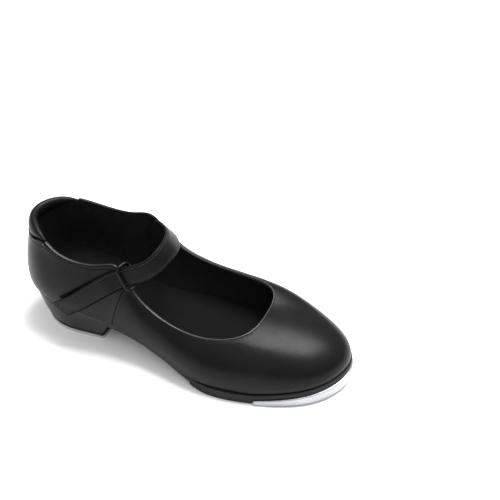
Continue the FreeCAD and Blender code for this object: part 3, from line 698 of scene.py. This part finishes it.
def edging(name, start, end, half_width, half_height, look, nodes=()):
    """A rolled edging along the topline, over leather and lining."""
    s = np.linspace(start, end, 260)
    angles = np.linspace(0, 2 * np.pi, 12, endpoint=False)
    out, up = normal(s, np.ones_like(s)), unit(along(TOP, s) - along(HIGH, s))
    middle = along(TOP, s) - out * 1.1 * MM
    ends = np.clip(np.minimum(s - s[0], s[-1] - s) / 0.06, 0.12, 1)[:, None]
    rings = []
    for angle in angles:
        offset = out * math.cos(angle) * half_width + up * math.sin(angle) * half_height
        rings.append(middle + offset * ends)
    finish_piece(loft(name, np.stack(rings, 1)), look, nodes)


# The vamp's edging takes the lightened binding leather: a painted highlight on the top edge.
edging("topline_edging", lateral_seam(1), medial_seam(1), 1.35 * MM, 0.6 * MM, BINDING_PAINTED_HIGHLIGHT, ["topline_binding"])
# The lateral edging takes the lightened copy (painted highlight), the medial one the darkened copy (painted
# shade).
edging("lateral_quarter_edging", COLLAR_END - 0.04, lateral_seam(1) - 0.05, 1.0 * MM, 0.3 * MM, LIT_EDGES)
edging("medial_quarter_edging", medial_seam(1) + 0.05, COUNT - COLLAR_END + 0.04, 1.0 * MM, 0.3 * MM,
       SHADED_EDGES)


COLLAR_REACH = 1.45


def collar_pad():
    """A foam roll in soft leather, set between quarter and lining behind the heel."""
    s = np.linspace(-COLLAR_REACH, COLLAR_REACH, 73)
    angles = np.linspace(0, 2 * np.pi, 28, endpoint=False)
    power = 2 / 2.5
    v = 0.5 - 0.5 * np.sign(np.cos(angles)) * np.abs(np.cos(angles)) ** power
    side = np.sign(np.sin(angles)) * np.abs(np.sin(angles)) ** power
    away = np.abs(s / COLLAR_REACH)[:, None]
    low = scoop(s)[:, None] - 0.07 + 0.05 * away ** 2
    high = 1 + 0.022 * (1 - away ** 4)
    half = 2.7 * MM * (1 - away ** 4) + 0.5 * MM
    depth = -2.1 * MM - 0.3 * MM * (1 - away) + side * half * (0.3 + 0.7 * smooth(v * 1.9))
    pucker = 0.12 * MM * np.sin(s * 60)[:, None] * np.exp(-((v - 0.25) / 0.16) ** 2)
    t = low + (high - low) * v
    points = skin(s[:, None] % COUNT, t, depth + pucker * side)
    piece = subdivide(loft("collar_roll", points))
    finish_piece(piece, COLLAR, ["heel_collar_pad"])


collar_pad()


# ---------------------------------------------------------------- strap
def open_spline(points, u):
    """A natural cubic spline through points at even parameters, at u from 0 to 1."""
    points = np.array(points, float)
    n = len(points) - 1
    matrix = np.eye(n + 1)
    right = np.zeros_like(points)
    for k in range(1, n):
        matrix[k, k - 1:k + 2] = (1, 4, 1)
        right[k] = 6 * (points[k - 1] - 2 * points[k] + points[k + 1])
    bend = np.linalg.solve(matrix, right)
    x = np.asarray(u) * n
    i = np.clip(np.floor(x).astype(int), 0, n - 1)
    f = (x - i)[:, None]
    r = 1 - f
    return r * points[i] + f * points[i + 1] + ((r ** 3 - r) * bend[i] + (f ** 3 - f) * bend[i + 1]) / 6


# The strap's middle line from its anchor over the instep to the ring, in millimetres, and the way across
# the strap at the same points.
STRAP_LINE = [(49, 29.5, 52), (49.5, 29.8, 60), (50.8, 29.2, 67.5), (54.8, 28.6, 74.2), (60.4, 25.4, 76.2),
              (66.6, 19.5, 76.9), (70.6, 11, 79), (72.4, 2.5, 80.6), (72, -6, 80.2), (69.3, -13, 77.6),
              (65.6, -18.4, 75.4), (60.8, -22, 73.6), (55.9, -24.5, 72.4), (51.3, -27, 70.2)]
STRAP_ACROSS = [(0.99, -0.05, -0.1), (0.97, 0, -0.2), (0.9, 0.06, -0.42), (0.72, 0.12, -0.68),
                (0.6, 0.24, -0.76), (0.6, 0.22, -0.77), (0.66, 0.2, -0.73), (0.66, 0.2, -0.72),
                (0.62, 0.17, -0.76), (0.54, 0.1, -0.83), (0.48, 0, -0.87), (0.42, -0.07, -0.9),
                (0.45, -0.06, -0.89), (0.52, 0, -0.85)]
FLAP_START, FLAP_END = np.array([49.3, 0, 70.6]) * MM, np.array([1.8, 0, 30.6]) * MM
FLAP_WAY = unit(FLAP_END - FLAP_START)
FLAP_ACROSS = np.array([-FLAP_WAY[2], 0, FLAP_WAY[0]])


def side_depth(x, z):
    """y of the lateral quarter's outer face at (x, z), found by Newton steps from a first guess of s and t;
    near the sole the bulge is carried down."""
    z = np.maximum(z, ride(x) + 8 * MM)
    s, t = 1 + (x + 30 * MM) / (28 * MM), np.full_like(x, 0.5)
    step = 1e-3
    for _ in range(20):
        here = upper(s, t)
        ds, dt = (upper(s + step, t) - here) / step, (upper(s, t + step) - here) / step
        ex, ez = x - here[..., 0], z - here[..., 2]
        det = ds[..., 0] * dt[..., 2] - dt[..., 0] * ds[..., 2]
        s = s + (ex * dt[..., 2] - dt[..., 0] * ez) / det
        t = t + (ds[..., 0] * ez - ds[..., 2] * ex) / det
    return upper(s, t)[..., 1]


def flap_face(u, v):
    """Points of the quarter's face under the free end: u along it, v across it."""
    side = v - 0.5
    at = FLAP_START + FLAP_WAY * (FLAP_REACH * u - FLAP_TIP_SLANT * side * u * u)[..., None]
    at = at + FLAP_ACROSS * (STRAP_WIDTH * side)[..., None]
    at[..., 1] = side_depth(at[..., 0], at[..., 2])
    return at


def grid_normals(points):
    du, dv = np.gradient(points, axis=0), np.gradient(points, axis=1)
    return unit(np.cross(du, dv))


def strap_face(v, count=150):
    """The strap's outer face, rows along it and columns across it, each row's place, the length."""
    u = np.linspace(0, 1, 61)
    line, side = open_spline(STRAP_LINE, u) * MM, unit(open_spline(STRAP_ACROSS, u))
    arch = line[:, None] + side[:, None] * (STRAP_WIDTH * (v - 0.5))[None, :, None]
    u = np.linspace(0, 1, 40)[:, None]
    flap = flap_face(*np.broadcast_arrays(u, v[None, :]))
    lift = FLAP_LOW + (FLAP_HIGH - FLAP_LOW) * smooth((u - FLAP_FIRST) / 0.25)
    leather_face = PLY_GAP + STRAP_LINING_PLY + STRAP_PLY
    flap = flap + grid_normals(flap) * (lift + leather_face)[..., None]
    rows = np.concatenate([arch[:-1], flap[3:]])
    joint = len(arch) - 1
    for _ in range(12):
        near = slice(joint - 5, joint + 5)
        rows[near] = (rows[joint - 6:joint + 4] + 2 * rows[near] + rows[joint - 4:joint + 6]) / 4
    walked = np.concatenate([[0], np.cumsum(np.linalg.norm(np.diff(rows, axis=0), axis=-1).mean(1))])
    tip = 2.5 * MM
    at = np.concatenate([np.linspace(0, walked[-1] - tip, count),
                         walked[-1] - tip * np.array([0.8, 0.6, 0.42, 0.28, 0.16, 0.08, 0.03, 0])])
    out = np.empty((len(at), len(v), 3))
    for j in range(len(v)):
        for k in range(3):
            out[:, j, k] = np.interp(at, walked, rows[:, j, k])
    for _ in range(3):
        out[1:-1] = (out[:-2] + 2 * out[1:-1] + out[2:]) / 4
    return out, at, walked[-1]


def flexing(piece, material, nodes=()):
    """A strap piece: its material set, its nodes hidden and its transform baked; it is attached to no body.
    """
    finish_piece(piece, material, nodes, None)
    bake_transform(piece)


STRAP_STITCH, STITCH_START, BACKING_SHARE = 1.9 * MM, 10 * MM, 0.93


def strap():
    """Turned-edge strap: leather, backing and edge stitching."""
    edge = np.array([0, 0.12, 0.35, 0.7, 1.1, 1.45, 1.9, 2.35, 2.8]) * MM / STRAP_WIDTH
    v = np.concatenate([edge, np.linspace(edge[-1], 1 - edge[-1], 9)[1:-1], 1 - edge[::-1]])
    face, at, length = strap_face(v)
    from_edge = np.minimum(v, 1 - v)[None, :] * STRAP_WIDTH
    from_tip = (length - at)[:, None]
    corner = 3 * MM
    short = corner - np.sqrt(corner ** 2 - np.clip(corner - from_tip, 0, corner) ** 2)
    centre = face.mean(1, keepdims=True)
    face = centre + (face - centre) * (1 - short / (STRAP_WIDTH / 2))[..., None]
    normals = grid_normals(face)
    close = np.minimum(from_edge, from_tip)
    sink = (rolled(close, 0.6 * MM) + groove(from_edge, STRAP_STITCH, 0.2 * MM, 0.4 * MM)
            + groove(from_tip, STRAP_STITCH, 0.2 * MM, 0.4 * MM)
            + 0.35 * MM * (np.abs(2 * v - 1) ** 4)[None, :])
    inner = np.maximum(STRAP_PLY, sink + 0.4 * MM)
    flexing(shell("strap", face - normals * sink[..., None], face - normals * inner[..., None]),
            STRAP, ["instep_strap", "strap_end"])
    low = STRAP_PLY + PLY_GAP / 2
    high = low + STRAP_LINING_PLY - rolled(close, 0.5 * MM)
    inset = centre + (face - centre) * BACKING_SHARE
    inset[-9:] = inset[-9:] + unit(face[-20] - face[-1]) * 0.5 * MM
    flexing(shell("strap_backing", inset - normals * low, inset - normals * high[..., None]),
            BACKING, ["instep_strap_lining", "strap_end_lining"])
    keep = (at < length - STRAP_STITCH) & (at > STITCH_START)
    rows = [edge_row(face[keep], normals[keep], v, share)
            for share in (STRAP_STITCH / STRAP_WIDTH, 1 - STRAP_STITCH / STRAP_WIDTH)]
    (first, ups), (last, _) = rows
    share = np.linspace(0, 1, 8)[:, None]
    rows.append((first[-1] + (last[-1] - first[-1]) * share, np.repeat(ups[-1:], 8, 0)))
    flexing(stitches("strap_stitches", rows), THREADS)


def edge_row(face, normals, v, share):
    """A row of stitches along the strap at a share of its width, as a path and its normals."""
    path = np.stack([[np.interp(share, v, row[:, k]) for k in range(3)] for row in face])
    ups = np.stack([[np.interp(share, v, row[:, k]) for k in range(3)] for row in normals])
    return path - ups * 0.2 * MM, ups


strap()


# ---------------------------------------------------------------- soles, heel and taps
def outline(margin, heel_margin, waist_margin, count=180):
    """The sole's edge: the feather line moved outwards."""
    i = np.arange(COUNT)
    at = along(FOOT, i)
    way = unit(along(FOOT, i + 1e-3) - along(FOOT, i - 1e-3))
    moved = np.interp(at[:, 0] / MM, (28, 45, 85, 118), (heel_margin, waist_margin, waist_margin, margin))
    out = np.stack([way[:, 1], -way[:, 0], 0 * moved], -1) * moved[:, None]
    return along(loop_poles((at + out) / MM), np.arange(count) * COUNT / count)[:, :2]


def lid(vertices, ring, columns, height):
    """Faces of a grid across a ring of vertices; the grid's own vertices are added to the list."""
    count = len(ring)
    grid = [[ring[0]] * (columns + 1)]
    for i in range(1, count // 2):
        a, b = np.array(vertices[ring[i]]), np.array(vertices[ring[count - i]])
        row = [ring[i]]
        for c in range(1, columns):
            x, y, _ = a + (b - a) * c / columns
            vertices.append((x, y, float(ride(x)) + height))
            row.append(len(vertices) - 1)
        grid.append(row + [ring[count - i]])
    grid.append([ring[count // 2]] * (columns + 1))
    faces = []
    for row, after in zip(grid[:-1], grid[1:]):
        for c in range(columns):
            face = tuple(dict.fromkeys([row[c], after[c], after[c + 1], row[c + 1]]))
            if len(face) > 2:
                faces.append(face)
    return faces


def ride_plate(name, low, high, margins, round_low, round_high):
    """A plate along the ride with rounded edges; its faces are grids from side to side."""
    turns = [(1 - math.sqrt(1 - share ** 2), 1 - share) for share in (1, 0.6, 0.25, 0)]
    rings = [(round_low * inset, low + round_low * rise) for inset, rise in turns]
    rings += [(round_high * inset, high - round_high * rise) for inset, rise in reversed(turns)]
    columns, count = 14, 180
    vertices, faces = [], []
    for inset, height in rings:
        xy = outline(*(margin - inset for margin in margins), count)
        vertices += [(x, y, ride(x) + height) for x, y in xy]
    for k in range(len(rings) - 1):
        for i in range(count):
            n = (i + 1) % count
            faces.append((k * count + i, k * count + n, (k + 1) * count + n, (k + 1) * count + i))
    last = (len(rings) - 1) * count
    faces += [face[::-1] for face in lid(vertices, range(count), columns, low)]
    faces += lid(vertices, range(last, last + count), columns, high)
    return add_object(name, vertices, faces)


WAIST_TRIM, SOCK_MARGIN = 0.9 * MM, -3.2 * MM
sole = ride_plate("sole", -SOLE_PLY, 0, (SOLE_MARGIN, SEAT_MARGIN, WAIST_MARGIN - WAIST_TRIM),
                  0.8 * MM, 0.5 * MM)
finish_piece(sole, SOLE, ["outsole"])
sock = ride_plate("sock", 4.1 * MM, 6.3 * MM, [SOCK_MARGIN] * 3, 0.4 * MM, 0.9 * MM)
finish_piece(sock, SOCK, ["sock_liner"])


def clipped(points, keep):
    """A polygon cut by a half plane: keep(p) is positive inside."""
    out = []
    for a, b in zip(points, np.roll(points, -1, 0)):
        ka, kb = keep(a), keep(b)
        if ka >= 0:
            out.append(a)
        if ka * kb < 0:
            out.append(a + (b - a) * ka / (ka - kb))
    return np.array(out)


def flat_plate(name, polygon, low, high, bevel, segments=3, slope=0.0):
    """A flat plate with rounded edges, its upper face level or sloped along x."""
    count = len(polygon)
    vertices = [(x, y, z + (slope * x if z == high else 0)) for z in (low, high) for x, y in polygon]
    faces = [tuple(reversed(range(count))), tuple(range(count, 2 * count))]
    faces += [(i, (i + 1) % count, count + (i + 1) % count, count + i) for i in range(count)]
    piece = add_object(name, vertices, faces)
    modifier = piece.modifiers.new("Rounding", "BEVEL")
    modifier.width, modifier.segments = bevel, segments
    modifier.limit_method, modifier.angle_limit = "ANGLE", math.radians(50)
    modifier.use_clamp_overlap = True
    return piece


def sharpen(piece, degrees=40):
    """Smooth shading except across real edges."""
    piece.data.set_sharp_from_angle(angle=math.radians(degrees))
    return piece


# The pad's rear end is a line through these x, PAD_SPREAD to the lateral and the medial side; its ground
# face rises from the second taper x to leave PAD_THIN at the first.
PAD_REAR, PAD_SPREAD, PAD_TAPER, PAD_THIN = (95 * MM, 134 * MM), 80 * MM, (101 * MM, 117 * MM), 0.5 * MM
PAD_FRONT = TOE_BREAK - 0.4 * MM


def ball_pad():
    """The rubber pad: its rear end slants across the shoe and runs out to a thin edge."""
    slope = (PAD_REAR[1] - PAD_REAR[0]) / (2 * PAD_SPREAD)
    shape = clipped(outline(SOLE_MARGIN - 0.5 * MM, 0, WAIST_MARGIN),
                    lambda p: p[0] - (PAD_REAR[0] + slope * (p[1] + PAD_SPREAD)))
    shape = clipped(shape, lambda p: PAD_FRONT - p[0])
    top = BALL_HEIGHT - SOLE_PLY
    plate = bake_modifiers(flat_plate("forefoot_pad", shape, 0, top, 0.4 * MM))
    mesh = bmesh.new()
    mesh.from_mesh(plate.data)
    way = Vector((top - PAD_THIN, 0, PAD_TAPER[1] - PAD_TAPER[0])).normalized()
    cut = bmesh.ops.bisect_plane(mesh, geom=mesh.verts[:] + mesh.edges[:] + mesh.faces[:], dist=1e-7,
                                 plane_co=(PAD_TAPER[1], 0, 0), plane_no=-way, clear_outer=True)
    bmesh.ops.holes_fill(mesh, edges=[e for e in cut["geom_cut"] if isinstance(e, bmesh.types.BMEdge)])
    bmesh.ops.recalc_face_normals(mesh, faces=mesh.faces)
    mesh.to_mesh(plate.data)
    mesh.free()
    finish_piece(sharpen(plate), PAD, ["ball_pad"])


ball_pad()

SCREW_SHANK, SCREW_HEAD, SCREW_RECESS = 1.5 * MM, 3.4 * MM, 0.4 * MM
TOE_SCREWS, HEEL_SCREWS = ((26 * MM, 2 * MM), 17 * MM), ((2 * MM, 0), 17 * MM)
TAP_PLACE = Matrix.Translation((TOE_BREAK, 0, 0)) @ Matrix.Rotation(-TAP_SPRING, 4, "Y")


def countersunk(piece, circle):
    """Three countersunk holes from the ground face, cut with turned tools."""
    (cx, cy), radius = circle
    head, shank = SCREW_HEAD + SCREW_RECESS, SCREW_SHANK + 0.1 * MM
    rings = [(head + 1.1 * MM, -1 * MM), (shank, head - SCREW_SHANK), (shank, 14 * MM)]
    tools = []
    for degrees in (60, 180, 300):
        x, y = cx + radius * math.cos(math.radians(degrees)), cy + radius * math.sin(math.radians(degrees))
        angles = np.linspace(0, 2 * np.pi, 32, endpoint=False)
        turned = [[(x + r * math.cos(a), y + r * math.sin(a), z) for a in angles] for r, z in rings]
        tool = loft(f"drill_{degrees}", turned)
        modifier = piece.modifiers.new("Hole", "BOOLEAN")
        modifier.object, modifier.operation, modifier.solver = tool, "DIFFERENCE", "EXACT"
        tools.append(tool)
    bake_modifiers(piece)
    for tool in tools:
        bpy.data.objects.remove(tool)
    return piece


TAP_REAR, TAP_CHEVRON = 3 * MM, 3 / 80


def toe_tap():
    """The front tap: a wedge that thickens to the toe, its ground face nearly flat."""
    shape = outline(TAP_MARGIN, 0, 0)
    shape = np.stack([(shape[:, 0] - TOE_BREAK) / math.cos(TAP_SPRING), shape[:, 1]], -1)
    shape = clipped(shape, lambda p: p[0] - TAP_REAR + TAP_CHEVRON * abs(p[1]))
    plate = flat_plate("front_tap", shape, 0, TAP_PLY - 0.01 * MM, 0.9 * MM, 4,
                       math.tan(TOE_SPRING - TAP_SPRING))
    piece = countersunk(plate, TOE_SCREWS)
    piece.data.transform(TAP_PLACE)
    # The front tap takes the darkened aluminium: painted shade.
    finish_piece(sharpen(piece), SHADED_ALUMINIUM, ["toe_tap"])


toe_tap()


def straight(a, b, steps):
    """Points from a to b in even steps, with both ends."""
    return a + (b - a) * np.linspace(0, 1, steps + 1)[:, None]


def rounded(before, at, after, corner):
    """Points round the corner at, on the way from before to after."""
    first, last = at + unit(before - at) * corner, at + unit(after - at) * corner
    w = np.linspace(0, 1, 7)[:, None]
    return first * (1 - w) ** 2 + at * 2 * w * (1 - w) + last * w ** 2


def heel_section(half, back, back_length, front_lateral, front_medial, corner=2.2 * MM):
    """A D outline: half an ellipse at the back, straight sides, rounded corners at the breast."""
    angles = np.linspace(math.pi / 2, 3 * math.pi / 2, 41)
    arc = np.stack([back + back_length * (1 + np.cos(angles)), half * np.sin(angles)], -1)
    lateral, medial = np.array([front_lateral, 1 * MM - half]), np.array([front_medial, half - 1 * MM])
    first, last = rounded(arc[-1], lateral, medial, corner), rounded(lateral, medial, arc[0], corner)
    return np.concatenate([arc, straight(arc[-1], lateral - [corner, 0], 8)[1:], first,
                           straight(first[-1], last[0], 12)[1:-1], last,
                           straight(last[-1], arc[0], 8)[1:-1]])


# Three sections up the heel: height, half width, back, length of the round back, lateral and medial front.
HEEL_LEVELS = ((5.6, 25.9, -27, 31.4, 28, 33), (15, 27.2, -29.4, 32, 30, 34), (31.7, 29.2, -32, 33, 35, 37))
HEEL_EDGE, HEEL_EDGE_SHARE, HEEL_RADIUS = 0.35 * MM, 0.03, 28 * MM


def heel_block():
    """The heel: curved through its three sections, its lower edge eased, its top cut to the sole."""
    z0, z1, z2 = (level[0] * MM for level in HEEL_LEVELS)
    low, middle, high = (heel_section(*(np.array(level[1:]) * MM)) for level in HEEL_LEVELS)
    rings = []
    for share in np.concatenate([[0, 0.01, 0.03], np.linspace(0.06, 0.94, 24), [0.97, 0.99, 1]]):
        z = z0 + (z2 - z0) * share
        ring = (low * ((z - z1) * (z - z2) / ((z0 - z1) * (z0 - z2)))
                + middle * ((z - z0) * (z - z2) / ((z1 - z0) * (z1 - z2)))
                + high * ((z - z0) * (z - z1) / ((z2 - z0) * (z2 - z1))))
        inset = HEEL_EDGE * (1 - min(1, share / HEEL_EDGE_SHARE)) ** 2
        ring = ring * (1 - inset / HEEL_RADIUS)
        limit = ride(ring[:, 0]) - SOLE_PLY - PLY_GAP / 2
        rings.append(np.column_stack([ring, z0 + (limit - z0) * share]))
    finish_piece(sharpen(loft("heel_body", rings), 50), HEEL, ["heel_block"])


heel_block()


# The outline of tap and lift, as in HEEL_LEVELS, and the height of the face between them.
PLATE_OUTLINE = (25.5 * MM, -26 * MM, 31 * MM, 28 * MM, 33 * MM)
LIFT_FOOT, LIFT_TOP = 2.6 * MM, HEEL_LEVELS[0][0] * MM


def heel_plate(name, node, inset, low, high, bevel, look, holes=False):
    """A flat plate in the heel's shape: the tap, with its screw holes, or the lift above it."""
    half, back, back_length, front_lateral, front_medial = PLATE_OUTLINE
    shape = heel_section(half - inset, back + inset, back_length, front_lateral - inset, front_medial - inset)
    piece = flat_plate(name, shape, low, high, bevel, 4)
    if holes:
        countersunk(piece, HEEL_SCREWS)
    else:
        bake_modifiers(piece)
    finish_piece(sharpen(piece), look, [node])


# The rear tap takes the lightened aluminium: painted light.
heel_plate("rear_tap", "heel_tap", 0, 0, LIFT_FOOT, 0.6 * MM, LIT_ALUMINIUM, True)
heel_plate("top_lift", "heel_lift", 0.1 * MM, LIFT_FOOT, LIFT_TOP, 0.4 * MM, PAD)

# ---------------------------------------------------------------- studio
FLOOR_TONE, SKY_BELOW, SKY_ABOVE = 0.95, 0.14, 1.25
floor = add_object("floor", [(-4, -4, 0), (4, -4, 0), (4, 4, 0), (-4, 4, 0)], [(0, 1, 2, 3)])
made, tree, shader = material("floor_paper")
shader.inputs["Base Color"].default_value = (*grey(FLOOR_TONE), 1)
shader.inputs["Roughness"].default_value = 0.9
floor.data.materials.append(made)

world = bpy.data.worlds.new("studio")
world.use_nodes = True
tree = world.node_tree
height = node(tree, "ShaderNodeSeparateXYZ")
tree.links.new(node(tree, "ShaderNodeTexCoord").outputs["Generated"], height.inputs["Vector"])
share = ranged(tree, height.outputs["Z"], 0, 1, (-0.1, 0.9))
tree.links.new(tinted(tree, share, grey(SKY_BELOW), grey(SKY_ABOVE)),
               tree.nodes["Background"].inputs["Color"])
bpy.context.scene.world = world


def softbox(name, place, target, width, height, watts):
    """A rectangular area light that faces its target."""
    lamp = bpy.data.lights.new(name, "AREA")
    lamp.shape, lamp.size, lamp.size_y, lamp.energy = "RECTANGLE", width, height, watts
    item = bpy.data.objects.new(name, lamp)
    item.location = place
    item.rotation_euler = (Vector(target) - Vector(place)).to_track_quat("-Z", "Y").to_euler()
    bpy.context.scene.collection.objects.link(item)


softbox("overhead", (0.41, 0.46, 1.5), (0.41, 0.46, 0), 1.05, 0.8, 49)

camera_data = bpy.data.cameras.new("camera")
camera_data.sensor_width, camera_data.lens = 36, 84.6
camera = bpy.data.objects.new("camera", camera_data)
camera.location = (0.3433, -0.5318, 0.6130)
camera.rotation_euler = Vector((-0.2751, 0.6921, -0.6674)).to_track_quat("-Z", "Y").to_euler()
bpy.context.scene.collection.objects.link(camera)
bpy.context.scene.camera = camera
bpy.context.scene.view_settings.view_transform = "Standard"
